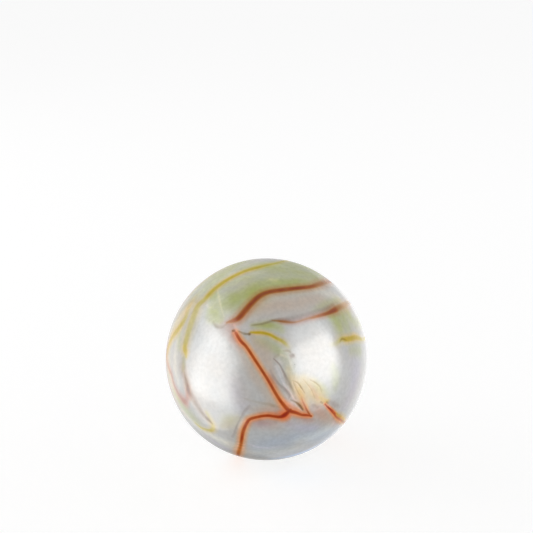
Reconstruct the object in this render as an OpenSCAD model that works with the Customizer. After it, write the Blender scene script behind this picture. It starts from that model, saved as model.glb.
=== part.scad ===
// Glass marble.
// One ball of opaque, pearly white glass. Orange, yellow, green, cream and smoky glass
// is drawn out in it as thin streaks, each fused in flush with the round surface.
//
// Millimetres. The origin is the ball's centre, +Z is up and the front faces -Y.

/* [Ball] */
// Diameter of the ball
ball_d = 16; // [14:0.5:50]

/* [Streaks] */
// Width of every streak, as a share of its natural width
width_share = 1; // [0.6:0.1:1.3]
// How deep the coloured glass reaches, as a share of the ball's radius
depth_share = 0.08; // [0.04:0.01:0.16]

/* [Colours] */
// Glass of the ball itself
pearl_colour = "Gainsboro"; // [Gainsboro, Ivory, White, LightGray]
// Glass of the long veins
orange_colour = "OrangeRed"; // [OrangeRed, Chocolate, Firebrick]
// Glass of the short veins
yellow_colour = "Goldenrod"; // [Goldenrod, Gold, Khaki]
// Glass of the pale green fields
green_colour = "DarkSeaGreen"; // [DarkSeaGreen, LightGreen, OliveDrab]
// Glass of the fan where the veins meet
cream_colour = "NavajoWhite"; // [NavajoWhite, PeachPuff, Wheat]
// Grey glass caught in the folds
smoke_colour = "SlateGray"; // [SlateGray, DimGray, Gray]

/* [Hidden] */
ball_r = ball_d / 2;
// Facets round the ball
ball_facets = 120;
// Straight stretches that the curve between two points of a route is drawn in
steps = 2;
// A streak is a wedge with its sharp edge this deep, and its flat back this far outside
depth = depth_share * ball_r;
clear = 0.03 * ball_r;
// Widening of the wedge from the ball's surface out to its back
flare = (depth + clear) / depth;

// A route is a list of [bearing, height, width], all in degrees as seen from the centre.
// Bearing 0 is the front and 90 is the +X side. Height is measured up from the equator.
orange_routes = [
    // From the front fold over the top right and down the back
    [[-28, 38, 0.8], [-21, 41, 2.2], [-17, 46, 2.2], [-13, 51, 2.2], [-7, 56, 2.2], [2, 59, 2.2],
     [15, 60, 2.2], [30, 60, 2.2], [45, 59, 2], [68, 57, 1.8], [102, 50, 1.8], [130, 37, 1.8],
     [148, 18, 1.6], [156, -8, 0.6]],
    // Round the right at the height of the front fold
    [[4, 41, 0.6], [20, 39, 0.8], [36, 40, 1.2], [57, 40, 2], [74, 39, 1.8], [90, 36, 1.8],
     [106, 28, 1.6], [118, 16, 1.4], [128, 0, 0.6]],
    // Straight down the front, from the fold to the hook
    [[-20, 33, 0.8], [-16, 29, 1.5], [-12, 26, 1.4], [-7, 20, 1.4], [0, 10, 1.4], [5, 1, 1.5],
     [8, -4, 1.6], [12, -9, 2], [16, -11, 1.8], [20, -13, 1.5], [28, -17, 0.8]],
    // Barb of the hook
    [[26, -15, 0.8], [23, -11, 1], [20, -5, 0.6]],
    // Left from the hook, under the ball, up behind and forward again on the right
    [[13, -9, 1.4], [10, -12, 2.2], [0, -12, 1.5], [-8, -14, 1.6], [-11, -17, 1.6],
     [-14, -24, 1.7], [-18, -37, 1.7], [-31, -57, 1.9], [-45, -66, 1.8], [-100, -76, 1.6],
     [-165, -70, 1.6], [155, -58, 1.6], [115, -46, 1.8], [80, -37, 1.8], [60, -29, 1.7],
     [43, -17, 1.4], [34, -9, 0.6]],
    // Hairpin on the left
    [[-79, 6, 1.2], [-72, 1, 1.4], [-67, -1, 1.2], [-65, -5, 1.2], [-60, -10, 1.4],
     [-54, -13, 1.8], [-50, -10, 1.4], [-48, -6, 1.1], [-49, -2, 0.6]],
    // Back of the left side
    [[-100, 30, 0.6], [-112, 16, 1.6], [-126, 6, 1.8], [-144, 1, 1.8], [-160, -8, 1.6],
     [-168, -24, 0.6]],
];
yellow_routes = [
    // Over the top, down the left and in to the white glass
    [[176, 32, 0.6], [166, 48, 1.6], [140, 71, 1.8], [100, 83, 1.8], [30, 86, 1.9], [-32, 81, 2],
     [-50, 74, 2], [-57, 65, 2], [-60, 55, 2], [-60, 47, 1.6], [-61, 40, 1.2], [-58, 32, 1.2],
     [-56, 23, 1.4], [-53, 16, 1.6], [-52, 14, 0.6]],
    // Left side, above the hairpin
    [[-68, 32, 0.6], [-70, 25, 1.5], [-75, 18, 1.5], [-79, 10, 1.2]],
    // Inside the front fold
    [[-10, 34, 0.6], [-3, 34, 1.5], [2, 33, 1.6], [6, 31, 1.6], [12, 27, 0.6]],
    // Right side
    [[46, 23, 0.6], [55, 23, 1.7], [60, 22, 1.7], [71, 20, 1.5], [96, 10, 1.4], [108, -4, 0.6]],
    // Hook at the lower left
    [[-36, -15, 0.6], [-34, -21, 1.2], [-34, -25, 1.3], [-37, -28, 1.3], [-46, -29, 1.2],
     [-50, -27, 0.6]],
    // Back of the left side
    [[-98, -16, 0.6], [-114, -24, 1.5], [-132, -28, 1.5], [-150, -28, 0.6]],
];
green_routes = [
    // Between the yellow and the orange veins over the top
    [[-46, 44, 2], [-38, 48, 9], [-28, 53, 12], [-10, 62, 11], [5, 67, 11], [42, 67, 10],
     [70, 64, 8], [105, 58, 3]],
    // Under the front of the middle vein
    [[-10, 37, 0.8], [-3, 37, 3], [4, 37, 3], [10, 36, 0.8]],
    // Inside the front fold
    [[-5, 30, 1], [1, 28, 5], [6, 25, 4], [9, 24, 1]],
    // Right side, between the middle vein and the yellow one
    [[47, 34, 2], [55, 33, 7], [66, 31, 7], [78, 28, 6], [90, 22, 5], [100, 18, 2]],
    // Low on the left of the front
    [[-27, -22, 1], [-20, -18, 6], [-16, -15, 1]],
    // Back, low down
    [[-178, 6, 2], [176, -8, 8], [174, -24, 8], [178, -38, 2]],
];
cream_routes = [
    // Fan that opens to the left of the short vein
    [[14, 9, 1], [19, 6, 6], [25, 2, 10], [30, -4, 7], [33, -8, 1]],
];
smoke_routes = [
    // Folds between the straight vein and the fan
    [[4, 20, 0.4], [8, 15, 1], [11, 9, 2], [13, 4, 2], [16, -3, 0.4]],
    [[3, 14, 0.4], [6, 7, 1.2], [10, 2, 2], [13, -3, 0.4]],
    // Dark stroke at the foot of the folds
    [[14, -4, 0.4], [17, -6, 1], [20, -10, 0.4]],
    // Line that runs down from the hairpin
    [[-53, 8, 0.4], [-50, 0, 1.6], [-48, -6, 2], [-43, -12, 2], [-39, -17, 1.6], [-35, -21, 0.4]],
];

// The point of the unit ball at a bearing and a height
function on_ball(bearing, height) =
    [sin(bearing) * cos(height), -cos(bearing) * cos(height), sin(height)];
function unit(v) = v / norm(v);
// Place and width together, as four numbers that curve along the route as one
function knot(p) = concat(on_ball(p[0], p[1]), p[2] * width_share);
function place(k) = [k[0], k[1], k[2]];
// A smooth curve from b to c, with a before them and d after them
function between(a, b, c, d, t) =
    (2 * b + (c - a) * t + (2 * a - 5 * b + 4 * c - d) * t ^ 2 + (3 * b - a - 3 * c + d) * t ^ 3) / 2;
function curve(route) = let (k = [for (p = route) knot(p)], last = len(k) - 1) [
    for (i = [0 : last - 1], j = [0 : steps - 1])
        between(k[max(i - 1, 0)], k[i], k[i + 1], k[min(i + 2, last)], j / steps),
    k[last]
];
// The three corners of the wedge at step i: two outside the ball, and one below its surface
function corners(path, i) = let (
    here = unit(place(path[i])),
    ahead = place(path[min(i + 1, len(path) - 1)]) - place(path[max(i - 1, 0)]),
    side = unit(cross(here, ahead)) * ball_r * tan(path[i][3] / 2) * flare,
    back = (ball_r + clear) * here
) [back + side, back - side, (ball_r - depth) * here];

// A wedge that follows a route round the ball
module wedge(route) {
    path = curve(route);
    last = len(path) - 1;
    points = [for (i = [0 : last], c = corners(path, i)) c];
    sides = [for (i = [0 : last - 1], c = [0 : 2]) let (
        a = 3 * i + c, b = 3 * i + (c + 1) % 3
    ) each [[a, a + 3, b], [b, a + 3, b + 3]]];
    polyhedron(points, concat([[0, 1, 2]], sides, [[3 * last + 2, 3 * last + 1, 3 * last]]));
}

module wedges(routes) {
    for (route = routes) wedge(route);
}

module ball() {
    sphere(r = ball_r, $fn = ball_facets);
}

// Coloured glass: the wedges of its routes, cut off by the ball
module streaks(routes) {
    intersection() {
        ball();
        wedges(routes);
    }
}

// White glass: the ball without the room that the streaks take up
module pearl() {
    difference() {
        ball();
        wedges(concat(orange_routes, yellow_routes, green_routes, cream_routes, smoke_routes));
    }
}

module marble() {
    color(pearl_colour) pearl();
    color(orange_colour) streaks(orange_routes);
    color(yellow_colour) streaks(yellow_routes);
    color(green_colour) streaks(green_routes);
    color(cream_colour) streaks(cream_routes);
    color(smoke_colour) streaks(smoke_routes);
}

marble();
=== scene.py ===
"""Glass marble: the finish of the ball and its streaks, and the stage that it is seen on."""
import math

import bpy
import numpy as np
from bpy.props import FloatProperty, FloatVectorProperty, IntProperty, PointerProperty
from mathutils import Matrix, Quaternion, Vector


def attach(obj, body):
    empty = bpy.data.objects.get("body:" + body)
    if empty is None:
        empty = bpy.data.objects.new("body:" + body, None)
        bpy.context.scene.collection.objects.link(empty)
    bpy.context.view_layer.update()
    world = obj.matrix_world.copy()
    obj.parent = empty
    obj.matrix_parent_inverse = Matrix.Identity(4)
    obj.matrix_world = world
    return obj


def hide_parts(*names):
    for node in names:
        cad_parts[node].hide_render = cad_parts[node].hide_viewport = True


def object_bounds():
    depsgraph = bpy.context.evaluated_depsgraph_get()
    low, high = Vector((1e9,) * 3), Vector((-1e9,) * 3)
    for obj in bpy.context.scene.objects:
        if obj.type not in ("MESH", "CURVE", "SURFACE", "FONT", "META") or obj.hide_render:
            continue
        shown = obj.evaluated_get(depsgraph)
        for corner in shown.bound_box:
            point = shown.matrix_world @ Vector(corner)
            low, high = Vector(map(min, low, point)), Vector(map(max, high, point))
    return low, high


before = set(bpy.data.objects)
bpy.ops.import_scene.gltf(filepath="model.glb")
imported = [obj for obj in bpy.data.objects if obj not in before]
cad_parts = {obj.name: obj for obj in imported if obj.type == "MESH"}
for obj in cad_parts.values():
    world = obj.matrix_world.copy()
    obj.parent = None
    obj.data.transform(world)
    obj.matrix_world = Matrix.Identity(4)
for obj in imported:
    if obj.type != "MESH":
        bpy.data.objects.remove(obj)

bl_info = {
    "name": "Glass Marble",
    "version": (1, 0, 0),
    "blender": (4, 5, 0),
    "location": "3D View > Sidebar > Marble",
    "description": "Makes a pearl glass marble with drawn streaks, and a plain studio round it",
    "category": "Add Mesh",
}

CAD_BOX = [list(corner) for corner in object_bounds()]
BALL_RADIUS = (CAD_BOX[1][2] - CAD_BOX[0][2]) / 2
MM = 0.001

# Streaks as they run through the surface. Each is a list of
# (bearing, height, width, strength): bearing 0 is the front and 90 the +X side, height is
# measured up from the equator, and all three are degrees as seen from the ball's centre.
RUST = (
    # From the front fold over the top right and down the back
    ((-28, 38, 1, 0.4), (-21, 41, 2.4, 1), (-17, 46, 2.6, 1), (-13, 51, 2.6, 1), (-7, 56, 2.6, 1),
     (2, 59, 2.4, 1), (15, 60, 2.4, 1), (30, 60, 2.3, 1), (45, 59, 2.2, 1), (55, 58, 2.1, 0.8),
     (68, 57, 2.6, 0.4), (84, 55, 2.6, 0.35), (102, 50, 1.8, 0.8), (130, 37, 1.8, 1),
     (148, 18, 1.6, 1), (156, -8, 0.6, 0.4)),
    # Round the right at the height of the front fold
    ((4, 41, 0.6, 0.2), (12, 40, 1.2, 0.45), (20, 39, 0.8, 0.2), (30, 40, 0.9, 0.2),
     (36, 40, 1.2, 0.45), (48, 40, 1.7, 0.8), (58, 40, 2.2, 1.2), (64, 40, 2.6, 0.5),
     (74, 39, 2.8, 0.3), (90, 36, 2, 0.4), (106, 28, 1.6, 0.8), (118, 16, 1.4, 0.8),
     (128, 0, 0.6, 0.4)),
    # Dark side of the short vein
    ((34, -9, 0.6, 0.4), (37, -12, 0.7, 0.5), (41, -15, 0.7, 0.5), (44, -18, 0.6, 0.3)),
)
ORANGE = (
    # Straight down the front, from the fold to the hook
    ((-20, 33, 1.4, 0.9), (-16, 29, 1.5, 1.1), (-12, 26, 1.4, 1), (-7, 20, 1.4, 1),
     (0, 10, 1.4, 1), (5, 1, 1.5, 1), (8, -4, 1.6, 1.05), (12, -9, 1.9, 1.1),
     (16, -11, 1.8, 1.1), (20, -13, 1.4, 1), (24, -14, 1.3, 1.1), (26, -15, 0.9, 0.9)),
    # Barb of the hook
    ((25, -14, 0.8, 0.8), (23, -11, 1, 0.65), (20, -5, 0.9, 0.35), (19, -2, 0.8, 0.1)),
    # Left from the hook, under the ball, up behind and forward again on the right
    ((13, -9, 1.6, 0.9), (10, -12, 2.4, 1.4), (7, -13, 1.7, 1), (0, -12, 1.5, 1),
     (-8, -14, 1.6, 1), (-11, -17, 1.6, 1), (-14, -24, 1.7, 1), (-16, -31, 1.7, 1),
     (-18, -37, 1.7, 0.7), (-22, -45, 2, 0.6), (-31, -57, 1.9, 0.8), (-45, -66, 1.8, 0.9),
     (-100, -76, 1.6, 1), (-165, -70, 1.6, 1), (155, -58, 1.6, 1), (115, -46, 1.8, 1),
     (80, -37, 1.8, 0.9), (62, -31, 1.6, 0.5), (52, -25, 1.2, 0.5), (46, -21, 1, 0.6),
     (43, -18, 1.1, 0.9), (40, -15, 1, 1.1), (37, -12, 0.9, 1), (34, -9, 0.7, 0.7)),
    # Back of the left side
    ((-100, 30, 0.6, 0.3), (-112, 16, 1.6, 1), (-126, 6, 1.8, 1), (-144, 1, 1.8, 1),
     (-160, -8, 1.6, 1), (-168, -24, 0.6, 0.3)),
)
ROSE = (
    # Front fold, where the veins start
    ((-30, 37, 3, 0.4), (-25, 36, 4, 0.8), (-22, 33, 3, 0.9), (-20, 29, 2.4, 0.9),
     (-17, 26, 2, 0.6), (-14, 23, 1.5, 0.3)),
    # Hairpin on the left
    ((-81, 9, 3, 0.6), (-78, 4, 3.4, 1), (-72, 1, 2.4, 1.3), (-67, -1, 2.2, 1.3),
     (-65, -5, 2.2, 1.2), (-60, -10, 2.6, 1.3), (-57, -12, 3, 1.5), (-54, -13, 3.2, 1.8),
     (-51, -11, 2.2, 1.2), (-49, -7, 2, 1.2), (-49, -2, 1.4, 0.6)),
    # Warm lines in the fan
    ((24, 4, 1, 0.2), (26, 1, 1.2, 0.3), (28, -3, 1.4, 0.4), (29, -5, 1.4, 0.4)),
    # Pink glass at the foot of the fan
    ((16, -3, 3, 0.5), (20, -8, 3, 0.8), (22, -12, 3, 0.9)),
    # Between the hook and the short vein
    ((25, -10, 5, 0.4), (31, -13, 6, 0.5), (37, -17, 5, 0.3)),
    # Under the left vein
    ((-9, -18, 3, 0.4), (-3, -16, 4, 0.8), (4, -16, 4, 0.6)),
    # Under the hook
    ((15, -14, 2, 0.4), (20, -15, 2.6, 0.7), (25, -17, 2.6, 0.8), (29, -19, 1.6, 0.3)),
    # Right of the straight vein
    ((1, 12, 1.6, 0.4), (3, 8, 1.8, 0.7), (5, 5, 1.4, 0.4)),
    ((11, -4, 3, 0.4), (14, -7, 3.4, 0.7), (19, -11, 2.4, 0.5)),
    # Round the place where the straight vein and the left one meet
    ((14, -10, 4, 0.5), (10, -12, 5, 1.2), (4, -12, 4, 1), (-3, -12, 3, 0.5)),
    # Tail of the top vein
    ((58, 58, 2, 0.3), (70, 57, 3, 0.7), (84, 55, 3, 0.8), (100, 52, 3, 0.5)),
    # Front of the middle vein
    ((10, 40, 1.6, 0.3), (20, 39, 1.8, 0.7), (32, 40, 2, 0.7), (44, 40, 2.2, 0.5)),
    # Beside the short vein
    ((43, -20, 2, 0.5), (49, -25, 3, 1), (54, -28, 2, 0.6)),
)
YELLOW = (
    # Over the top and down the upper left
    ((176, 32, 0.6, 0.3), (166, 48, 1.6, 0.9), (140, 71, 1.8, 0.9), (100, 83, 1.9, 0.8),
     (30, 86, 2.2, 1), (-32, 81, 2.4, 1.3), (-50, 74, 2.5, 1.35), (-57, 65, 2.6, 1.4),
     (-60, 55, 2.8, 1.4), (-60, 50, 2.8, 1.5), (-60, 47, 3, 1)),
    # On from there, down to the white glass
    ((-60, 46, 3, 0.8), (-62, 42, 4, 0.7), (-60, 38, 4.6, 0.6), (-58, 32, 4.6, 0.55),
     (-56, 23, 4, 0.6), (-55, 18, 3, 1.1), (-53, 16, 2.4, 1.2), (-52, 14, 1.6, 0.7)),
    # Left side, above the hairpin
    ((-72, 37, 4, 0.2), (-68, 32, 4, 0.6), (-70, 25, 3.4, 1.4), (-75, 18, 3.2, 1.4),
     (-79, 10, 3, 1.1), (-80, 4, 2.6, 0.4)),
    # Inside the front fold
    ((-10, 34, 1, 1), (-7, 34, 1.2, 1.4), (-3, 34, 1.3, 1.5), (2, 33, 1.3, 1.5),
     (6, 31, 1.4, 1.2), (10, 29, 1.6, 0.8), (13, 26, 1.8, 0.2)),
    # Right side
    ((42, 23, 2, 0.1), (46, 23, 2.4, 0.25), (51, 24, 2.2, 0.7), (55, 23, 2.2, 1.5),
     (60, 22, 2.2, 1.6), (66, 21, 2.1, 1.6), (71, 19, 2, 1.3), (78, 16, 1.8, 0.7),
     (96, 10, 1.4, 0.9), (108, -4, 0.6, 0.3)),
    # Hook at the lower left
    ((-36, -15, 2, 0.3), (-34, -21, 2.4, 0.5), (-34, -25, 2.2, 0.6), (-37, -28, 2, 0.7),
     (-41, -29, 2, 0.6), (-46, -29, 1.8, 0.5), (-50, -27, 1.6, 0.3)),
    # Streaks in the fan
    ((18, 5, 1.6, 0.1), (18, 1, 2.4, 0.25), (19, -3, 2, 0.25)),
    # Head of the short vein
    ((30, -4, 1.6, 0.2), (34, -7, 2, 0.4), (36, -7, 1.4, 0.3)),
    # Tail of the short vein
    ((43, -17, 1.4, 0.6), (49, -22, 2.2, 1.4), (55, -26, 2.2, 1.3), (61, -30, 1.6, 0.5)),
    # Back of the left side
    ((-98, -16, 0.6, 0.3), (-114, -24, 1.5, 0.9), (-132, -28, 1.5, 0.9), (-150, -28, 0.6, 0.3)),
)
SMOKE = (
    # Folds between the straight vein and the fan
    ((4, 20, 0.6, 0.8), (7, 17, 0.8, 1), (9, 13, 1.1, 1.1), (11, 8, 1.7, 0.8),
     (13, 4, 1.6, 0.6), (15, -1, 1, 0.4), (16, -3, 0.6, 0.3)),
    ((2, 14, 0.8, 0.2), (4, 10, 1, 0.4), (7, 6, 1.1, 0.6), (10, 3, 1.5, 0.8),
     (12, 0, 1.5, 0.8), (12, -2, 0.9, 0.4)),
    # Shadow along the middle vein
    ((-10, 38, 0.8, 0.5), (-3, 39, 1.2, 0.8), (6, 41, 1.6, 0.7), (14, 41, 2.6, 0.6),
     (24, 42, 2.4, 0.4), (37, 43, 2.2, 0.4), (49, 43, 2.4, 0.6), (61, 43, 2.4, 0.4)),
    # Line that runs down from the hairpin
    ((-54, 11, 4, 0.3), (-53, 7, 5, 0.5), (-51, 2, 4.4, 0.8), (-49, -2, 4.2, 1.1),
     (-48, -5, 4.4, 1.1), (-45, -8, 4, 1), (-42, -13, 4, 1), (-40, -16, 3.4, 1),
     (-37, -19, 3, 1.2), (-35, -21, 1.8, 0.6)),
    # Beside the bend of the left vein
    ((-9, -6, 1.2, 0.3), (-12, -10, 1.4, 0.5), (-14, -14, 1.5, 0.6), (-17, -20, 1.5, 0.7),
     (-19, -25, 1.5, 0.6), (-22, -30, 1.2, 0.3)),
    # Low on the left of the front
    ((-27, -23, 3, 0.2), (-22, -19, 6, 0.4), (-17, -15, 4, 0.3)),
    # Over the short vein
    ((37, -8, 2, 0.3), (41, -11, 2.6, 0.5), (46, -14, 2, 0.2)),
    # At the foot of the fan
    ((26, -8, 1.8, 0.4), (29, -10, 1.8, 0.4)),
    # Specks round the head of the folds
    ((14, 21, 1.8, 1.3), (15, 21, 1.8, 1.3)),
    ((8, 21, 3, 0.1), (10, 19, 4, 0.2), (12, 15, 3, 0.2)),
)
LINES = (
    # Dark stroke at the foot of the folds
    ((13, -3, 0.6, 0.5), (16, -5, 0.9, 1), (18, -7, 1.3, 1.8), (20, -10, 1, 1.4)),
    # Lines in the fan
    ((14, 8, 0.5, 0.3), (17, 6, 0.6, 0.8), (19, 3, 0.7, 0.9), (21, 0, 0.5, 0.4)),
    ((24, 7, 0.5, 0.3), (27, 5, 0.7, 0.7), (30, 2, 0.7, 0.6), (31, -1, 0.5, 0.3)),
    ((20, 8, 0.5, 0.2), (23, 4, 0.5, 0.4), (25, 1, 0.5, 0.4), (27, -4, 0.5, 0.3)),
    ((14, 8, 0.5, 0.3), (16, 3, 0.5, 0.5), (18, -1, 0.5, 0.4)),
    # Head of the short vein
    ((31, -7, 1, 0.9), (32, -8, 1, 0.9)),
    ((35, -8, 1, 0.8), (36, -9, 1, 0.8)),
    # Over the yellow vein in the fold
    ((-18, 34, 0.7, 0.6), (-14, 33, 1.1, 1), (-12, 33, 1, 1.2), (-11, 33, 1.4, 1.8)),
    # Under the yellow vein on the right
    ((49, 23, 0.6, 0.3), (52, 24, 1.1, 1), (56, 22, 0.6, 0.3)),
    # Edge of the leaf in the green
    ((-39, 37, 1.4, 0.2), (-35, 35, 1.8, 0.5), (-31, 35, 1.6, 0.4), (-28, 37, 1, 0.3)),
    # Faint line over the left vein
    ((-12, -2, 1, 0.1), (-4, -4, 1.4, 0.2), (1, -5, 1.6, 0.3), (4, -6, 1.6, 0.4), (7, -7, 1, 0.2)),
    # Dark side of the hairpin, and the end of the line that runs down from it
    ((-52, 5, 1, 0.3), (-50, 0, 2.2, 1), (-49, -3, 2.6, 1.5), (-48, -6, 2.4, 1.3),
     (-46, -9, 3, 0.5), (-42, -13, 3.6, 0.6), (-39, -17, 2.4, 0.6)),
    ((-38, -18, 1.4, 0.5), (-36, -20, 1.8, 1.3), (-34, -22, 1.2, 0.9)),
    # Specks
    ((-22, 34, 1, 2), (-21, 34, 1, 1.5)),
    ((10, 24, 1, 0.2), (12, 24, 1.2, 0.5), (14, 23, 1, 0.3)),
    ((5, 21, 1.4, 0.3), (7, 22, 1.4, 0.2)),
)
GLINTS = (
    # White glass between the folds
    ((5, 16, 1.2, 0.4), (7, 12, 1.2, 0.5), (8, 9, 0.9, 0.5), (10, 5, 1, 0.9), (12, 2, 1.2, 1.1),
     (14, -1, 1.1, 0.9), (15, -3, 0.7, 0.4)),
    ((8, -1, 1, 0.4), (11, -4, 2, 0.8), (14, -6, 2.2, 0.8), (18, -9, 1, 0.3)),
    # Leaf in the green
    ((-55, 55, 1, 0.4), (-50, 53, 1.4, 0.8), (-46, 51, 1.3, 0.8), (-41, 48, 1.2, 0.8),
     (-37, 45, 1, 0.6), (-32, 41, 0.8, 0.4)),
    ((-54, 45, 1.2, 0.4), (-50, 44, 1.6, 0.7), (-47, 44, 1, 0.3)),
    # Clear glass in the fold
    ((-22, 37, 1.8, 0.7), (-20, 35, 1.5, 0.6)),
    ((-18, 37, 3, 0.4), (-15, 37, 3, 0.4)),
    # Low on the front: painted reflection, a pale band of the floor near the bottom rim
    ((-12, -34, 1.4, 0.4), (-7, -37, 1.8, 0.7), (1, -38, 1.8, 0.5), (10, -37, 1.4, 0.3)),
    # Across the left vein, low down: painted reflection, pale stripes in the same band
    ((-20, -35, 0.6, 0.6), (-15, -36, 0.6, 0.9)),
    ((-21, -38, 0.6, 0.6), (-16, -39, 0.6, 0.9)),
    ((-24, -42, 0.6, 0.6), (-18, -43, 0.6, 0.9)),
    # Pale spot in the green
    ((7, 69, 3, 0.6), (12, 68, 3, 0.6), (19, 70, 2, 0.3)),
    # Clear spots by the folds: painted highlight, bright specks at the broken edge of the right
    # softbox's gloss
    ((8, 22, 1.2, 0.5), (11, 21, 1.4, 0.6)),
    ((13, 19, 1.4, 0.5), (14, 16, 1.4, 0.4)),
    ((7, 19, 1, 0.4), (9, 17, 1, 0.4)),
)
# Soft fields of colour between the streaks, given in the same way. Some of their places are painted
# light, painted sheen and painted reflection instead of colour
MOSS_AND_PAINTED_SHEEN = (
    # Between the yellow and the rust veins over the top
    ((-43, 47, 10, 0.9), (-34, 50, 14, 1.2), (-22, 55, 15, 1.4), (-10, 61, 14, 1.3),
     (4, 65, 13, 1.2), (22, 65, 12, 1.2), (42, 64, 11, 1.1), (64, 61, 9, 0.8), (88, 60, 10, 0.8),
     (112, 58, 10, 0.8), (130, 50, 8, 0.4)),
    ((-60, 52, 5, 0.4), (-53, 51, 7, 1.1), (-45, 50, 6, 0.8)),
    # Over the top
    ((-60, 77, 9, 0.5), (-20, 83, 12, 1.1), (40, 83, 12, 1.1), (80, 77, 9, 0.5)),
    # Beside the yellow vein
    ((-52, 58, 5, 0.3), (-44, 64, 8, 0.5), (-30, 69, 8, 0.5), (-12, 73, 7, 0.4)),
    # Paler, above it
    ((20, 76, 10, 0.4), (45, 74, 12, 0.7), (70, 69, 12, 0.8), (85, 60, 10, 0.5)),
    # Under the front of the middle vein
    ((-10, 38, 2.5, 0.6), (-4, 38, 4, 1.1), (3, 38, 5, 1.2), (8, 37, 5, 0.9), (10, 35, 3.5, 0.6)),
    # Right side, between the middle vein and the yellow one
    ((50, 38, 6, 0.8), (54, 35, 9, 1.1), (53, 30, 8, 1)),
    ((61, 38, 7, 0.4), (63, 34, 9, 0.7), (62, 28, 7, 0.5)),
    # Over the middle vein
    ((38, 44, 4, 0.2), (52, 45, 5, 0.5), (64, 44, 5, 0.5), (74, 43, 5, 0.4)),
    ((71, 37, 6, 0.5), (72, 33, 10, 0.8), (75, 28, 8, 0.6), (90, 22, 6, 0.6), (100, 19, 3, 0.4)),
    # Leaf
    ((-49, 45, 4, 0.5), (-44, 43, 7, 1.3), (-38, 41, 6, 1.2), (-34, 40, 4, 0.8)),
    ((-46, 39, 4, 0.3), (-41, 38, 5, 0.6), (-34, 38, 4, 0.7)),
    # Inside the front fold
    ((-5, 30, 5, 0.3), (1, 28, 6, 0.6), (6, 25, 5, 0.6), (9, 24, 3, 0.3)),
    # Left rim and the glass inside it
    ((-75, 42, 10, 0.3), (-76, 60, 14, 0.5), (-120, 72, 14, 0.7)),
    ((-90, 44, 8, 0.3), (-98, 58, 10, 0.6), (-130, 70, 10, 0.6)),
    # Upper right rim
    ((40, 86, 8, 0.4), (90, 80, 12, 0.9), (112, 66, 12, 1), (116, 50, 10, 0.7)),
    ((-65, 22, 5, 0.4), (-61, 17, 5, 0.4)),
    ((-54, 12, 3, 0.5), (-53, 9, 3.4, 0.7), (-53, 6, 3, 0.4)),
    ((-66, -12, 6, 0.4), (-60, -17, 8, 0.5), (-53, -21, 9, 0.5), (-47, -25, 7, 0.4)),
    # Low on the left of the front
    ((-27, -22, 5, 0.3), (-22, -18, 8, 0.45), (-17, -15, 5, 0.3)),
    # Round the head of the folds
    ((7, 23, 4, 0.2), (11, 20, 6, 0.3), (13, 15, 6, 0.2)),
    # Right side of the fan
    ((27, 5, 4, 0.2), (31, 1, 5, 0.4), (35, -3, 5, 0.4)),
    # Right of the fan: painted sheen, the yellow-green fringe at the edge of the right softbox's
    # gloss; and the rim beyond it
    ((40, 11, 5, 0.3), (41, 5, 6, 0.5), (40, -1, 5, 0.3)),
    ((57, 16, 6, 0.4), (67, 13, 8, 0.4)),
    # Back, low down
    ((-178, 6, 4, 0.6), (176, -8, 14, 1), (174, -24, 14, 1), (178, -38, 5, 0.6)),
)
CREAM = (
    # Fan that opens to the left of the short vein
    ((12, 14, 4, 0.4), (13, 9, 4, 0.6), (16, 4, 5, 0.8)),
    ((15, 9, 5, 0.7), (17, 5, 6, 1), (19, 0, 7, 1), (22, -6, 5, 0.8)),
    ((20, 8, 5, 0.8), (23, 4, 7, 1), (26, -1, 7, 1.1), (29, -6, 5, 0.9)),
    ((25, 6, 4, 0.5), (28, 2, 5, 0.7), (31, -3, 5, 0.8), (32, -6, 4, 0.7)),
    ((29, -4, 3, 0.8), (32, -6, 3.4, 1.6), (35, -8, 3, 1.2)),
    # Foot of the fan
    ((19, -6, 4, 0.8), (22, -9, 4, 0.8), (21, -11, 3, 0.5)),
    # Left rim
    ((-73, 41, 10, 0.5), (-77, 31, 10, 0.6), (-78, 20, 8, 0.6), (-76, 11, 8, 0.6),
     (-73, 1, 8, 0.7), (-68, -8, 8, 0.6), (-62, -14, 7, 0.4)),
    # By the hook at the lower left
    ((-34, -23, 4, 0.3), (-36, -28, 4, 0.3)),
)
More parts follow.
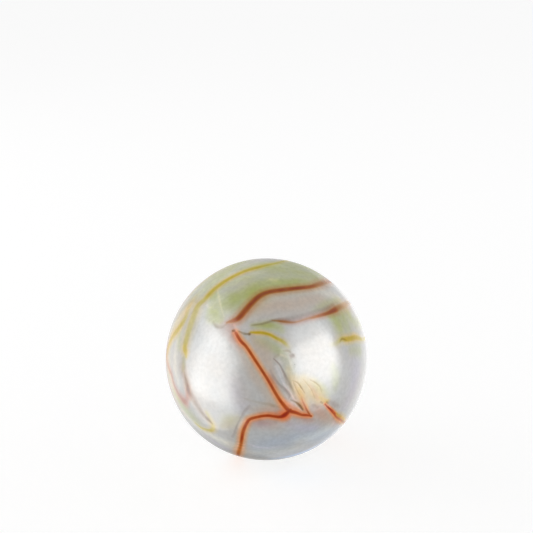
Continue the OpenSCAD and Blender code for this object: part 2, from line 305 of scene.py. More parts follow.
TAN = (
    # In the green at the upper left
    ((-50, 49, 6, 0.4), (-42, 48, 8, 0.8), (-33, 48, 7, 0.7)),
    # Between the two rust veins
    ((-16, 43, 5, 0.5), (-4, 49, 9, 0.9), (20, 50, 11, 1), (50, 49, 9, 0.8)),
    # Along the left of the straight vein
    ((-16, 24, 4, 0.5), (-10, 17, 6, 0.8), (-5, 10, 7, 1), (1, 1, 6, 0.9), (3, -5, 6, 0.8)),
    # Over the left vein
    ((-8, -9, 4, 0.6), (-1, -8, 6, 0.8), (5, -9, 4, 0.7)),
    # Inside the front fold
    ((-7, 31, 6, 0.7), (-2, 26, 8, 0.9), (2, 19, 7, 0.7)),
    # Brown shade down the right of the straight vein
    ((-9, 31, 2, 0.7), (-7, 28, 3, 0.8), (-5, 24, 3, 0.8), (-3, 21, 3, 0.8), (1, 17, 4, 1.1),
     (3, 13, 4, 1.1), (5, 9, 3, 0.6)),
    # Along the line that runs down from the hairpin
    ((-53, 7, 6, 0.8), (-50, 1, 6, 1.4), (-48, -5, 6, 1.8), (-45, -9, 5, 0.8)),
    # Left of the fan
    ((15, 6, 3, 0.5), (18, 1, 4, 0.8), (20, -4, 4, 0.5)),
    # Down the right of the straight vein, lower
    ((2, 12, 3, 0.4), (5, 6, 3.4, 1), (8, 0, 3, 0.8), (10, -4, 3, 0.4)),
    # Tail of the middle vein
    ((66, 38, 4, 0.5), (74, 37, 6, 1), (84, 34, 5, 0.6)),
    # Below and right of the hook
    ((30, -12, 7, 1), (35, -17, 8, 1.1), (42, -22, 7, 0.8)),
    # Low on the left of the front
    ((-27, -23, 4, 0.2), (-21, -18, 7, 0.3), (-16, -14, 5, 0.2)),
    # Left rim
    ((-73, 41, 8, 0.6), (-72, 34, 7, 0.5)),
    ((-92, 28, 8, 0.4), (-96, 44, 8, 0.8), (-110, 60, 8, 0.8), (-150, 72, 8, 0.5)),
    ((-89, 16, 7, 1.2), (-87, 8, 8, 2.4), (-85, 0, 8, 2.4), (-79, -10, 8, 1.8),
     (-71, -17, 7, 1), (-60, -25, 6, 0.5)),
    # Bottom of the left vein
    ((-18, -40, 10, 0.8), (-24, -48, 10, 0.8)),
    # Back of the right side
    ((120, 30, 14, 0.7), (138, 10, 18, 0.8), (140, -14, 12, 0.6)),
)
LILAC = (
    # Right side, under the yellow vein
    ((56, 14, 10, 0.5), (60, 3, 14, 0.8), (56, -9, 12, 0.8), (50, -17, 8, 0.6)),
    # Under the hook
    ((-6, -17, 4, 0.6), (0, -18, 4, 0.5)),
    ((13, -19, 5, 0.6), (22, -22, 6, 0.8), (31, -24, 5, 0.7)),
    # Left of the short folds
    ((-17, 6, 10, 0.4), (-14, -6, 10, 0.5)),
    # Low on the left
    ((-46, -35, 4, 0.5), (-39, -42, 4, 0.6), (-29, -48, 5, 0.7)),
    # Back of the left side
    ((-110, -4, 16, 0.7), (-134, -14, 18, 0.8), (-150, 20, 14, 0.6)),
)
# Cold fields: painted reflection on the underside and the lower right rim, and a cool tint of the
# glass in the green and at the back
BLUE_AND_PAINTED_REFLECTION = (
    # Bottom of the front: painted reflection, the cool grey-blue that the underside takes from
    # below
    ((-14, -42, 14, 0.6), (5, -34, 18, 1), (22, -28, 14, 1), (40, -34, 16, 1), (56, -38, 14, 1)),
    # Bottom rim: the same painted reflection
    ((-12, -50, 8, 0.3), (2, -48, 10, 0.7), (16, -47, 9, 0.8), (28, -45, 7, 0.5)),
    # Lower right rim: painted reflection, a cyan sheen along the rim
    ((8, -57, 8, 1.5), (20, -55, 8, 3), (33, -53, 8, 3.8), (43, -49, 7, 3), (52, -42, 6, 1.2)),
    # In the green at the upper left
    ((-50, 49, 6, 0.5), (-42, 48, 8, 1), (-33, 48, 7, 0.8)),
    # Back, high up
    ((-168, 50, 20, 0.6), (160, 66, 16, 0.5)),
)
# Paler fields. Most are painted light: lamplight at the upper left, the broken edge of the right
# softbox's gloss, and a painted reflection of the floor low down. The rest is milky glass
MILK_AND_PAINTED_LIGHT = (
    # Upper left rim: painted light, where the lamps at the upper left and behind light the ball
    ((-88, 22, 14, 0.4), (-90, 38, 22, 0.8), (-92, 52, 26, 1), (-92, 66, 24, 1),
     (-80, 80, 16, 0.7), (60, 84, 8, 0.4)),
    # Outside the yellow veins, at the upper left: painted light from the same lamps
    ((-74, 48, 7, 0.6), (-74, 58, 9, 1.1), (-68, 68, 9, 0.8)),
    ((-72, 38, 6, 0.5), (-78, 28, 6, 0.8), (-84, 18, 6, 0.5)),
    # Between the two yellow veins on the left, and down inside the hairpin: painted light beside
    # the left softbox's gloss
    ((-66, 24, 5, 0.5), (-64, 14, 6, 0.9), (-62, 5, 6, 1.1), (-58, -3, 5, 0.8)),
    # Between the yellow vein and the green
    ((-50, 56, 3, 0.2), (-46, 62, 5, 0.5), (-40, 67, 6, 0.6), (-29, 72, 5, 0.6), (-11, 76, 5, 0.4)),
    # Right of the rust vein
    ((57, 54, 7, 0.5), (66, 50, 9, 0.8), (75, 44, 9, 0.8), (79, 38, 7, 0.6)),
    # Round the head of the folds: painted highlight, the wide broken edge of the right softbox's
    # gloss
    ((11, 24, 5, 0.5), (9, 20, 6, 0.4), (12, 15, 6, 0.4), (14, 11, 4, 0.4)),
    # Low on the front: painted reflection of the pale floor, a lighter band near the bottom rim
    ((-32, -40, 8, 0.4), (-16, -44, 10, 0.7), (4, -44, 10, 0.8), (22, -42, 9, 0.5)),
    # Low on the right and on the left: the same painted reflection of the floor
    ((21, -32, 8, 0.5), (31, -32, 8, 0.8), (39, -30, 7, 0.8), (46, -26, 6, 0.6)),
    ((-60, -23, 7, 0.5), (-47, -30, 7, 0.9), (-37, -34, 7, 1.2), (-28, -37, 8, 1.3),
     (-20, -38, 6, 0.6)),
)
STREAKS = {
    "rust": RUST, "orange": ORANGE, "rose": ROSE, "yellow": YELLOW,
    "smoke": SMOKE, "lines": LINES, "glints": GLINTS,
}
FIELDS = {
    "moss": MOSS_AND_PAINTED_SHEEN, "cream": CREAM, "tan": TAN, "lilac": LILAC, "blue": BLUE_AND_PAINTED_REFLECTION, "milk": MILK_AND_PAINTED_LIGHT,
}
# Families that lie a little under the surface of the ball, as shallow creases
CREASES = ("smoke", "lines")

# Stretches that the curve between two points of a streak is measured in
CURVE_STEPS = 8
# Streak half-widths past which a streak has no more effect
FARTHEST = 8.0
# The mesh is divided again wherever it lies within a streak, or this far from one (degrees)
REFINED_MARGINS = (1.0, 0.3)
# How many half-widths to each side of a streak are divided again with it
REFINED_REACH = 1.5
# Vertices measured at one time
BATCH = 8000
# How quickly the strength of one streak gives way to that of the next in its family
HANDOVER = 3
# Creases that are shallower than this share of the full depth are left out
LEAST_CREASE = 0.02

# Fields in the order in which they are laid: family, how mottled, size of the mottles in mm
FIELD_LOOKS = (
    ("milk", 0.6, 1.2), ("tan", 0.6, 1.5), ("lilac", 0.8, 1.2), ("blue", 0.6, 2.0),
    ("cream", 0.8, 0.9), ("moss", 1.2, 1.1),
)
# Streaks in the order in which they are laid: family, how far the edges waver, length of the
# wavers in mm, and half-widths that the core and the glow reach
STREAK_LOOKS = (
    ("glints", 0.8, 0.4, 1.8, 3.5), ("smoke", 0.7, 0.5, 1.8, 3.5), ("lines", 0.8, 0.4, 1.8, 3.0),
    ("yellow", 0.5, 0.5, 1.8, 4.0), ("rose", 0.8, 0.5, 2.0, 4.0), ("rust", 0.4, 0.6, 1.9, 4.5),
    ("orange", 0.3, 0.6, 1.7, 5.0),
)
# How unevenly the cores of the streaks are coloured
PATCHINESS = 1.2
# Sizes of the unevenness of the glass itself
CLOUD_SIZE = 2.5 * MM
FLECK_SIZE = 0.3 * MM
PIT_SIZE = 0.6 * MM
GRAIN_SIZE = 0.25 * MM
RIPPLE_SIZE = 0.9 * MM
# The cooler shade of the pearl glass, against the warmer one
COOL_SHADE = (0.95, 1.0, 1.05)

LAMP_DISTANCE = 150 * MM
FLOOR_SIZE = 6
# Lamps round the ball: name, turn and rise from the camera and roll in degrees, width and
# height in mm, and radiance as a share of the stage's gloss or of its fill
GLOSS_LAMPS = (
    ("left_softbox", -75, -18, 0, 172, 330, 0.45),
    ("left_softbox_middle", -61, -12, -12, 145, 180, 0.5),
    ("left_softbox_top", -72, 36, 0, 165, 80, 0.32),
    ("right_softbox", 57, -5, -8, 162, 280, 0.5),
    ("right_softbox_middle", 57, -2, 0, 160, 120, 0.6),
    ("left_panel", -125, -10, 0, 150, 260, 0.06),
    ("right_panel", 150, -10, 0, 120, 260, 0.06),
)
FILL_LAMPS = (
    ("left_fill", -105, 5, 0, 200, 300, 1),
    ("right_fill", 100, 0, 0, 200, 300, 0.5),
)


# ---------------------------------------------------------------- settings


def tint(name, description, colour):
    """A colour that a user can set. Over 1 the glass is brighter than the pearl round it."""
    return FloatVectorProperty(
        name=name, description=description, default=colour, size=3, min=0, max=2,
        subtype="COLOR",
    )


class MarbleSettings(bpy.types.PropertyGroup):
    """Size and colours of the marble."""

    radius: FloatProperty(
        name="Radius", description="Radius of the ball", default=BALL_RADIUS,
        min=0.001, unit="LENGTH",
    )
    fineness: IntProperty(
        name="Fineness", description="How often the starting cube is divided", default=6,
        min=3, max=7,
    )
    crease_depth: FloatProperty(
        name="Crease depth", description="How deep the folds lie in the surface",
        default=0.012 * MM, min=0, unit="LENGTH",
    )
    ripple_depth: FloatProperty(
        name="Ripple depth", description="Height of the cast surface's slow ripple",
        default=0.008 * MM, min=0, unit="LENGTH",
    )
    pearl: tint("Pearl", "White glass of the ball", (0.65, 0.625, 0.59))
    rust_core: tint("Rust core", "Tint in the middle of the rust veins", (0.60, 0.19, 0.03))
    rust_glow: tint("Rust glow", "Tint that the rust veins bleed", (0.98, 0.61, 0.44))
    orange_core: tint("Orange core", "Tint in the middle of the orange veins", (0.51, 0.17, 0.03))
    orange_glow: tint("Orange glow", "Tint that the orange veins bleed", (1.50, 0.72, 0.36))
    rose_core: tint("Rose core", "Tint in the middle of the rose streaks", (0.90, 0.76, 0.72))
    rose_glow: tint("Rose glow", "Tint that the rose streaks bleed", (1.02, 0.82, 0.78))
    yellow_core: tint("Yellow core", "Tint in the middle of the yellow veins", (0.86, 0.82, 0.22))
    yellow_glow: tint("Yellow glow", "Tint that the yellow veins bleed", (1.15, 0.97, 0.62))
    smoke_core: tint("Smoke core", "Tint in the middle of the grey folds", (0.64, 0.58, 0.56))
    smoke_glow: tint("Smoke glow", "Tint that the grey folds bleed", (0.96, 0.92, 0.90))
    lines_core: tint("Line core", "Tint in the middle of the fine lines", (0.64, 0.56, 0.44))
    lines_glow: tint("Line glow", "Tint that the fine lines bleed", (0.97, 0.94, 0.90))
    # The glints are white hairs of glass, and also painted reflection low on the front and painted
    # highlight specks by the folds
    glints_core: tint("Glint core", "Brightness of the white hairs in the glass", (1.28, 1.2, 1.22))
    glints_glow: tint("Glint glow", "Brightness round the white hairs", (1.06, 1.05, 1.06))
    # Tints the green glass, and also the painted sheen at the edge of the right softbox's gloss
    moss: tint("Moss", "Tint of the green fields", (0.84, 0.90, 0.46))
    cream: tint("Cream", "Tint of the fan and the warm rims", (1.12, 0.90, 0.52))
    tan: tint("Tan", "Tint of the warm grey fields", (1.04, 0.89, 0.78))
    lilac: tint("Lilac", "Tint of the lilac fields", (1.02, 0.97, 1.09))
    # Tints the cool glass, and also the painted reflection on the underside and the lower right rim
    blue: tint("Blue", "Tint of the cold fields", (0.89, 0.98, 1.12))
    # Brightens the milky glass, and also the painted light, painted highlight edge and painted
    # reflection of those fields
    milk: tint("Milk", "Brightness of the milky fields", (1.30, 1.28, 1.20))


class MarbleStageSettings(bpy.types.PropertyGroup):
    """Camera, lamps and background."""

    distance: FloatProperty(
        name="Distance", description="From the lens to the ball's centre", default=118 * MM,
        unit="LENGTH",
    )
    elevation: FloatProperty(
        name="Elevation", description="Height of the camera above the horizon",
        default=math.radians(20), unit="ROTATION",
    )
    headroom: FloatProperty(
        name="Headroom", description="How far above the ball's centre the camera looks",
        default=math.radians(3.57), unit="ROTATION",
    )
    lens: FloatProperty(name="Lens", description="Focal length", default=100, unit="CAMERA")
    surround: FloatProperty(
        name="Surround", description="Light that comes from all round", default=0.65, min=0,
    )
    gloss: FloatProperty(
        name="Gloss", description="Radiance of the softboxes, which the gloss shows",
        default=10.2, min=0,
    )
    fill: FloatProperty(
        name="Fill", description="Radiance of the lamps at the sides", default=0.5, min=0,
    )


# ---------------------------------------------------------------- mesh


def deselect_all():
    """Leaves nothing selected and no mode but object mode."""
    if bpy.context.object and bpy.context.object.mode != "OBJECT":
        bpy.ops.object.mode_set(mode="OBJECT")
    bpy.ops.object.select_all(action="DESELECT")


def apply_modifier(piece, name, kind, **settings):
    """Adds a modifier to the active piece and applies it."""
    modifier = piece.modifiers.new(name, kind)
    for key, value in settings.items():
        setattr(modifier, key, value)
    bpy.ops.object.modifier_apply(modifier=modifier.name)


def on_ball(bearing, height):
    """The point of the unit ball at a bearing and a height in degrees."""
    b, h = math.radians(bearing), math.radians(height)
    return np.array([math.sin(b) * math.cos(h), -math.cos(b) * math.cos(h), math.sin(h)])


def streak_curve(points):
    """Places on the unit ball, half-widths and strengths along a streak."""
    knots = np.array([
        [*on_ball(bearing, height), math.radians(width) / 2, strength]
        for bearing, height, width, strength in points
    ])
    padded = np.vstack([knots[:1], knots, knots[-1:]])
    rows = []
    for before, start, end, after in zip(padded, padded[1:], padded[2:], padded[3:]):
        for t in np.arange(CURVE_STEPS) / CURVE_STEPS:
            rows.append((
                2 * start + (end - before) * t
                + (2 * before - 5 * start + 4 * end - after) * t ** 2
                + (3 * start - before - 3 * end + after) * t ** 3
            ) / 2)
    rows.append(knots[-1])
    rows = np.array(rows)
    places = rows[:, :3] / np.linalg.norm(rows[:, :3], axis=1)[:, None]
    return places, rows[:, 3], rows[:, 4]


def measure_streak(directions, points):
    """For each direction: how many half-widths it lies from the streak, and the strength there."""
    places, half_widths, strengths = streak_curve(points)
    start, step = places[:-1], places[1:] - places[:-1]
    length2 = (step ** 2).sum(axis=1)
    nearness = np.full(len(directions), FARTHEST)
    strength = np.zeros(len(directions))
    for first in range(0, len(directions), BATCH):
        part = directions[first:first + BATCH]
        along = (part @ step.T - (start * step).sum(axis=1)) / length2
        along = np.clip(along, 0, 1)
        gap2 = np.zeros_like(along)
        for axis in range(3):
            foot = start[:, axis] + along * step[:, axis]
            gap2 += (part[:, axis:axis + 1] - foot) ** 2
        width = half_widths[:-1] + along * (half_widths[1:] - half_widths[:-1])
        ratio = np.sqrt(gap2) / width
        best = ratio.argmin(axis=1)
        rows = np.arange(len(part))
        here = along[rows, best]
        nearness[first:first + BATCH] = np.minimum(ratio[rows, best], FARTHEST)
        strength[first:first + BATCH] = (
            strengths[best] + here * (strengths[best + 1] - strengths[best])
        )
    return nearness, strength


def unit_places(mesh):
    """Where the vertices lie, as points of the unit ball."""
    places = np.empty(len(mesh.vertices) * 3)
    mesh.vertices.foreach_get("co", places)
    places = places.reshape(-1, 3)
    return places / np.linalg.norm(places, axis=1)[:, None]


def near_a_streak(directions, margin):
    """Says of each direction whether it lies within a streak, or closer to one than a margin."""
    near = np.zeros(len(directions), dtype=bool)
    for streaks in STREAKS.values():
        for points in streaks:
            places, half_widths, _ = streak_curve(points)
            reach = np.cos(REFINED_REACH * half_widths + math.radians(margin))
            near |= (directions @ places.T > reach).any(axis=1)
    return near


def refine_streaks(ball, margin):
    """Divides the faces that touch a streak, so that its edges can be sharp."""
    mesh = ball.data
    near = near_a_streak(unit_places(mesh), margin)
    chosen = [any(near[corner] for corner in face.vertices) for face in mesh.polygons]
    bpy.ops.object.mode_set(mode="EDIT")
    bpy.ops.mesh.select_mode(type="FACE")
    bpy.ops.mesh.select_all(action="DESELECT")
    bpy.ops.object.mode_set(mode="OBJECT")
    mesh.polygons.foreach_set("select", chosen)
    bpy.ops.object.mode_set(mode="EDIT")
    bpy.ops.mesh.subdivide(number_cuts=1)
    bpy.ops.object.mode_set(mode="OBJECT")


def round_off(ball, radius):
    """Puts every vertex on the true ball."""
    apply_modifier(
        ball, "True ball", "CAST", cast_type="SPHERE", factor=1, use_radius_as_size=False,
        size=radius,
    )


def store(mesh, name, values):
    """Keeps one number for each vertex under a name that the material reads."""
    attribute = mesh.attributes.new(name, "FLOAT", "POINT")
    attribute.data.foreach_set("value", np.asarray(values, dtype=np.float32))


def lay_streaks(mesh, directions):
    """Stores each family's nearness and strength, and says how deep each vertex is creased."""
    creased = np.zeros(len(directions))
    for family, streaks in STREAKS.items():
        nearness = np.full(len(directions), FARTHEST)
        # Just over nothing, so that it can be divided by
        weights = np.full(len(directions), 1e-9)
        strength = np.zeros(len(directions))
        for points in streaks:
            near, strong = measure_streak(directions, points)
            weight = np.exp(-HANDOVER * near)
            strength += weight * strong
            weights += weight
            nearness = np.minimum(nearness, near)
        strength /= weights
        store(mesh, family, nearness)
        store(mesh, family + "_strength", strength)
        if family in CREASES:
            creased = np.maximum(creased, strength * np.exp(-nearness ** 2))
    return creased


def lay_fields(mesh, directions):
    """Stores how much of each soft field there is at every vertex."""
    for family, routes in FIELDS.items():
        left = np.ones(len(directions))
        for points in routes:
            near, strong = measure_streak(directions, points)
            left *= 1 - strong * np.exp(-near ** 2)
        store(mesh, family, 1 - left)


def press_creases(ball, creased, depth):
    """Sinks the folds and fine lines a little into the surface."""
    group = ball.vertex_groups.new(name="creases")
    for index in np.flatnonzero(creased > LEAST_CREASE):
        group.add([int(index)], min(float(creased[index]), 1.0), "REPLACE")
    apply_modifier(
        ball, "Creases", "DISPLACE", strength=-depth, mid_level=0, vertex_group=group.name
    )
    ball.vertex_groups.clear()


def ripple_surface(ball, depth):
    """Gives the ball the slow ripple of a cast surface."""
    ripple = bpy.data.textures.new("Ripple", "CLOUDS")
    ripple.noise_scale = RIPPLE_SIZE
    ripple.noise_depth = 1
    apply_modifier(
        ball, "Ripple", "DISPLACE", strength=depth, mid_level=0.5, texture=ripple,
        texture_coords="LOCAL",
    )
    bpy.data.textures.remove(ripple)


# ---------------------------------------------------------------- material


class NodeSheet:
    """Adds nodes to a tree and wires them, one short call each."""

    def __init__(self, tree):
        self.tree = tree
        tree.nodes.clear()

    def add(self, kind, inputs=(), **settings):
        """A node with its settings, and its inputs given as values or as sockets."""
        node = self.tree.nodes.new(kind)
        for key, value in settings.items():
            setattr(node, key, value)
        for key, value in dict(inputs).items():
            self.feed(node.inputs[key], value)
        return node

    def feed(self, socket, value):
        """Links a socket to another, or sets its value."""
        if isinstance(value, bpy.types.NodeSocket):
            self.tree.links.new(value, socket)
        elif socket.type == "RGBA":
            socket.default_value = (*value, 1)
        else:
            socket.default_value = value

    def math(self, operation, *values):
        """A Math node's result."""
        node = self.add("ShaderNodeMath", enumerate(values), operation=operation)
        return node.outputs[0]

    def vector(self, operation, *values):
        """A Vector Math node's result."""
        node = self.add("ShaderNodeVectorMath", enumerate(values), operation=operation)
        return node.outputs[0]

    def ramp(self, value, low, high):
        """0 at low and 1 at high, with a smooth rise between."""
        node = self.add(
            "ShaderNodeMapRange", {0: value, 1: low, 2: high}, interpolation_type="SMOOTHSTEP"
        )
        return node.outputs[0]

    def between(self, share, first, second):
        """A number mixed from two by a share."""
        node = self.add("ShaderNodeMix", {0: share, 2: first, 3: second}, data_type="FLOAT")
        return node.outputs[0]

    def blend(self, share, first, second):
        """A colour mixed from two by a share."""
        node = self.add("ShaderNodeMix", {0: share, 6: first, 7: second}, data_type="RGBA")
        return node.outputs[2]

    def attribute(self, name):
        """The number kept for each vertex under a name."""
        return self.add("ShaderNodeAttribute", attribute_name=name).outputs["Fac"]

    def noise(self, place, size, detail=2.0):
        """Soft cloudy noise, with lumps of about the given size in metres."""
        scale = self.math("DIVIDE", 1.0, size)
        node = self.add(
            "ShaderNodeTexNoise", {"Vector": place, "Scale": scale, "Detail": detail}
        )
        return node.outputs["Fac"]

    def tinted(self, colour, tint_colour, amount):
        """A colour seen through an amount of tinted glass."""
        passed = self.vector("POWER", tint_colour, amount)
        return self.vector("MULTIPLY", colour, passed)


def new_group(name, inputs):
    """An empty shader group that puts out a colour, with its sheet, input and output."""
    group = bpy.data.node_groups.new(name, "ShaderNodeTree")
    for socket, kind in inputs.items():
        group.interface.new_socket(
            name=socket, in_out="INPUT", socket_type="NodeSocket" + kind
        )
    group.interface.new_socket(name="Colour", in_out="OUTPUT", socket_type="NodeSocketColor")
    sheet = NodeSheet(group)
    given = sheet.add("NodeGroupInput").outputs
    return group, sheet, given, sheet.add("NodeGroupOutput").inputs["Colour"]


def streak_group():
    """Lays a streak over a colour: a core and a glow that bleeds into the glass round it."""
    group, sheet, given, out = new_group("Streak", {
        "Colour": "Color", "Core": "Color", "Glow": "Color", "Place": "Vector",
        "Nearness": "Float", "Strength": "Float", "Waver": "Float", "Waver Size": "Float",
        "Core Reach": "Float", "Glow Reach": "Float",
    })
    lumps = sheet.math("SUBTRACT", sheet.noise(given["Place"], given["Waver Size"]), 0.5)
    waver = sheet.math("MULTIPLY", lumps, given["Waver"])
    near = sheet.math("ADD", given["Nearness"], waver)
    core_share = sheet.ramp(near, given["Core Reach"], 0.15)
    glow_share = sheet.ramp(near, given["Glow Reach"], 0.8)
    patchy = sheet.math("MULTIPLY_ADD", lumps, PATCHINESS, 1.0)
    core = sheet.math("MULTIPLY", sheet.math("MULTIPLY", core_share, given["Strength"]), patchy)
    glow = sheet.math("MULTIPLY", glow_share, given["Strength"])
    colour = sheet.tinted(given["Colour"], given["Glow"], glow)
    sheet.feed(out, sheet.tinted(colour, given["Core"], core))
    return group


def field_group():
    """Lays a soft, mottled field over a colour."""
    group, sheet, given, out = new_group("Field", {
        "Colour": "Color", "Tint": "Color", "Place": "Vector", "Amount": "Float",
        "Mottle": "Float", "Mottle Size": "Float",
    })
    lumps = sheet.math("SUBTRACT", sheet.noise(given["Place"], given["Mottle Size"], 3.0), 0.5)
    share = sheet.math("ADD", sheet.math("MULTIPLY", lumps, given["Mottle"]), 1.0)
    amount = sheet.math("MULTIPLY", given["Amount"], share)
    sheet.feed(out, sheet.tinted(given["Colour"], given["Tint"], amount))
    return group


def pearl_glass(settings):
    """Pearl glass: white, with every field and streak laid over it in turn."""
    material = bpy.data.materials.new("Pearl glass")
    material.use_nodes = True
    sheet = NodeSheet(material.node_tree)
    place = sheet.add("ShaderNodeTexCoord").outputs["Object"]
    streak, field = streak_group(), field_group()

    cloud = sheet.ramp(sheet.noise(place, CLOUD_SIZE, 3.0), 0.3, 0.7)
    pearl = tuple(settings.pearl)
    cool = tuple(part * shade for part, shade in zip(pearl, COOL_SHADE))
    colour = sheet.blend(cloud, pearl, cool)
    flecks = sheet.ramp(sheet.noise(place, FLECK_SIZE, 3.0), 0.25, 0.75)
    colour = sheet.vector("MULTIPLY", colour, sheet.blend(flecks, (0.93,) * 3, (1.05,) * 3))
    for family, mottle, size in FIELD_LOOKS:
        node = sheet.add("ShaderNodeGroup", {}, node_tree=field)
        for key, value in {
            "Colour": colour, "Tint": tuple(getattr(settings, family)), "Place": place,
            "Amount": sheet.attribute(family), "Mottle": mottle, "Mottle Size": size * MM,
        }.items():
            sheet.feed(node.inputs[key], value)
        colour = node.outputs["Colour"]
    for family, waver, size, core, glow in STREAK_LOOKS:
        node = sheet.add("ShaderNodeGroup", {}, node_tree=streak)
        for key, value in {
            "Colour": colour, "Core": tuple(getattr(settings, family + "_core")),
            "Glow": tuple(getattr(settings, family + "_glow")), "Place": place,
            "Nearness": sheet.attribute(family),
            "Strength": sheet.attribute(family + "_strength"),
            "Waver": waver, "Waver Size": size * MM, "Core Reach": core, "Glow Reach": glow,
        }.items():
            sheet.feed(node.inputs[key], value)
        colour = node.outputs["Colour"]

    grain = sheet.noise(place, GRAIN_SIZE, 3.0)
    pitting = sheet.noise(place, PIT_SIZE, 4.0)
    height = sheet.math("ADD", sheet.math("MULTIPLY", pitting, 4.0), grain)
    bump = sheet.add(
        "ShaderNodeBump", {"Height": height, "Strength": 0.06, "Distance": 0.1 * MM}
    )
    roughness = sheet.between(cloud, 0.2, 0.26)
    shader = sheet.add(
        "ShaderNodeBsdfPrincipled",
        {"Base Color": colour, "Roughness": roughness, "IOR": 1.5, "Normal": bump.outputs[0]},
    )
    sheet.add("ShaderNodeOutputMaterial", {"Surface": shader.outputs[0]})
    return material


# ---------------------------------------------------------------- stage


def direction_seen(turn, rise, elevation):
    """The way from the ball to a thing that is turned and raised from the camera."""
    right = math.sin(turn) * math.cos(rise)
    up = math.sin(rise)
    toward = math.cos(turn) * math.cos(rise)
    high, flat = math.sin(elevation), math.cos(elevation)
    return Vector((right, up * high - toward * flat, up * flat + toward * high))


def add_lamp(elevation, strength, gloss, name, turn, rise, roll, width, height, share):
    """A rectangular lamp that faces the ball, rolled about the line between them. It makes
    only gloss or only light."""
    width, height = width * MM, height * MM
    way = direction_seen(math.radians(turn), math.radians(rise), elevation)
    facing = way.to_track_quat("Z", "Y") @ Quaternion((0, 0, 1), math.radians(roll))
    bpy.ops.object.light_add(type="AREA", location=way * LAMP_DISTANCE)
    lamp = bpy.context.object
    lamp.name = name
    lamp.rotation_euler = facing.to_euler()
    lamp.data.shape = "RECTANGLE"
    lamp.data.size = width
    lamp.data.size_y = height
    lamp.data.energy = share * strength * math.pi * width * height
    lamp.visible_camera = False
    lamp.visible_diffuse = not gloss
    lamp.visible_glossy = gloss


def white_surround(strength):
    """A white world. The gloss sees it only behind the ball: white low down, as a table is,
    half as bright higher up, and dark straight below."""
    world = bpy.data.worlds.new("Surround")
    world.use_nodes = True
    bpy.context.scene.world = world
    sheet = NodeSheet(world.node_tree)
    path = sheet.add("ShaderNodeLightPath")
    way = sheet.add("ShaderNodeTexCoord").outputs["Generated"]
    split = sheet.add("ShaderNodeSeparateXYZ", {0: way}).outputs
    behind = sheet.ramp(split["Y"], -0.6, 0.1)
    table = sheet.between(sheet.ramp(split["Z"], 0.15, -0.25), 0.5, 1.0)
    under = sheet.ramp(split["Z"], -0.8, -0.4)
    mirrored = sheet.math("MULTIPLY", behind, sheet.math("MULTIPLY", table, under))
    level = sheet.between(path.outputs["Is Glossy Ray"], strength, mirrored)
    seen = sheet.math(
        "MAXIMUM", path.outputs["Is Camera Ray"], path.outputs["Is Transmission Ray"]
    )
    level = sheet.between(seen, level, 1.0)
    sky = sheet.add("ShaderNodeBackground", {"Color": (1, 1, 1), "Strength": level})
    sheet.add("ShaderNodeOutputWorld", {"Surface": sky.outputs[0]})


def floor_material():
    """Plain white floor that stays white where it is seen, and keeps the ball's shadow."""
    material = bpy.data.materials.new("Floor")
    material.use_nodes = True
    sheet = NodeSheet(material.node_tree)
    path = sheet.add("ShaderNodeLightPath")
    seen = sheet.math("MAXIMUM", path.outputs["Is Camera Ray"], path.outputs["Is Glossy Ray"])
    glow = sheet.math("MULTIPLY", seen, 0.56)
    shader = sheet.add(
        "ShaderNodeBsdfPrincipled",
        {"Base Color": (0.6, 0.6, 0.6), "Roughness": 1.0, "Specular IOR Level": 0.0,
         "Emission Color": (1, 1, 1), "Emission Strength": glow},
    )
    sheet.add("ShaderNodeOutputMaterial", {"Surface": shader.outputs[0]})
    return material


# ---------------------------------------------------------------- operators


class MARBLE_OT_ball(bpy.types.Operator):
    """Make the ball of pearl glass with its streaks"""

    bl_idname = "marble.ball"
    bl_label = "Make Marble"

    def execute(self, context):
        settings = context.scene.marble
        deselect_all()
        bpy.ops.mesh.primitive_cube_add(size=2 * settings.radius)
        ball = context.object
        ball.name = ball.data.name = "glass_ball"
        apply_modifier(
            ball, "Rounding", "SUBSURF", levels=settings.fineness,
            render_levels=settings.fineness,
        )
        round_off(ball, settings.radius)
        for margin in REFINED_MARGINS:
            refine_streaks(ball, margin)
            round_off(ball, settings.radius)
        bpy.ops.object.shade_smooth()
        directions = unit_places(ball.data)
        creased = lay_streaks(ball.data, directions)
        lay_fields(ball.data, directions)
        press_creases(ball, creased, settings.crease_depth)
        ripple_surface(ball, settings.ripple_depth)
        ball.data.materials.append(pearl_glass(settings))
        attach(ball, "root")
        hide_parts("marble")
        return {"FINISHED"}


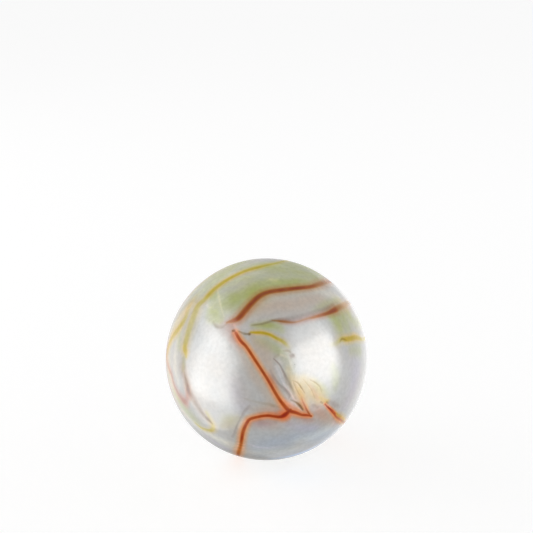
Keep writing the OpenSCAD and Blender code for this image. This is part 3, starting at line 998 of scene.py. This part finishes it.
class MARBLE_OT_stage(bpy.types.Operator):
    """Make the floor, the white surround, the lamps and the camera"""

    bl_idname = "marble.stage"
    bl_label = "Make Stage"

    def execute(self, context):
        settings = context.scene.marble_stage
        deselect_all()
        bpy.ops.mesh.primitive_plane_add(size=FLOOR_SIZE, location=(0, 0, CAD_BOX[0][2]))
        floor = context.object
        floor.name = "floor"
        floor.data.materials.append(floor_material())
        # The white surround lights the ball from below, so the floor doesn't do it as well
        floor.visible_diffuse = False
        floor.visible_glossy = False
        floor.visible_shadow = False
        white_surround(settings.surround)
        for lamp in GLOSS_LAMPS:
            add_lamp(settings.elevation, settings.gloss, True, *lamp)
        for lamp in FILL_LAMPS:
            add_lamp(settings.elevation, settings.fill, False, *lamp)
        self.add_camera(context, settings)
        context.scene.view_settings.view_transform = "Standard"
        return {"FINISHED"}

    def add_camera(self, context, settings):
        """A long lens that looks down on the ball, and a little over it."""
        place = direction_seen(0, 0, settings.elevation) * settings.distance
        down = settings.elevation - settings.headroom
        bpy.ops.object.camera_add(location=place, rotation=(math.pi / 2 - down, 0, 0))
        camera = context.object
        camera.data.lens = settings.lens
        context.scene.camera = camera


class MARBLE_PT_panel(bpy.types.Panel):
    """Lists the marble's and the stage's operators and settings"""

    bl_idname = "MARBLE_PT_panel"
    bl_label = "Glass Marble"
    bl_space_type = "VIEW_3D"
    bl_region_type = "UI"
    bl_category = "Marble"

    def draw(self, context):
        for settings, operator in (
            (context.scene.marble, MARBLE_OT_ball),
            (context.scene.marble_stage, MARBLE_OT_stage),
        ):
            self.layout.operator(operator.bl_idname)
            for name in settings.__annotations__:
                self.layout.prop(settings, name)


CLASSES = (
    MarbleSettings, MarbleStageSettings, MARBLE_OT_ball, MARBLE_OT_stage, MARBLE_PT_panel,
)


def register():
    for each in CLASSES:
        bpy.utils.register_class(each)
    bpy.types.Scene.marble = PointerProperty(type=MarbleSettings)
    bpy.types.Scene.marble_stage = PointerProperty(type=MarbleStageSettings)


def unregister():
    del bpy.types.Scene.marble_stage
    del bpy.types.Scene.marble
    for each in reversed(CLASSES):
        bpy.utils.unregister_class(each)


def main():
    register()
    bpy.ops.marble.ball()
    bpy.ops.marble.stage()


if __name__ == "__main__":
    main()
